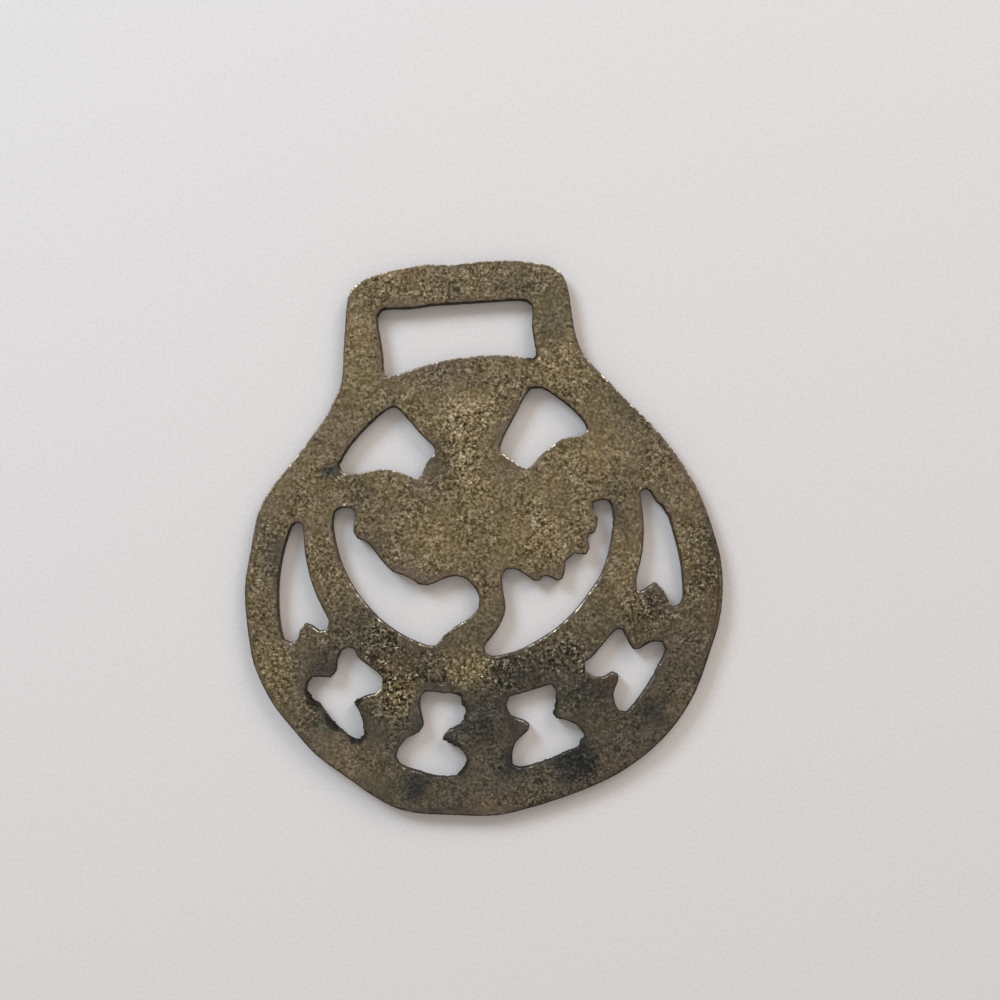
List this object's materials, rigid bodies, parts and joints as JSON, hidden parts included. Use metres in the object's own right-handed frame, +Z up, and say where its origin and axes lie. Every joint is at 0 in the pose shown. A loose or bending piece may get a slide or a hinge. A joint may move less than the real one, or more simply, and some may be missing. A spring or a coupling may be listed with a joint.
{
  "type": "horse brass",
  "caption": "Flat cast brass harness ornament: a round plate pierced with a thistle, a crescent and star-shaped bridges, under a slotted strap loop.",
  "frame": {"origin": "middle of the footprint, on the surface the brass lies on", "axes": "+Y towards the strap loop, +X to the right seen from the face that shows, +Z up out of that face"},
  "size_m": [0.0764, 0.0884, 0.0024],
  "materials": {
    "aged_brass": "old cast brass, dull, with mottled olive-brown patina and worn edges"
  },
  "bodies": {
    "root": {"horse_brass": "aged_brass"}
  },
  "joints": []
}
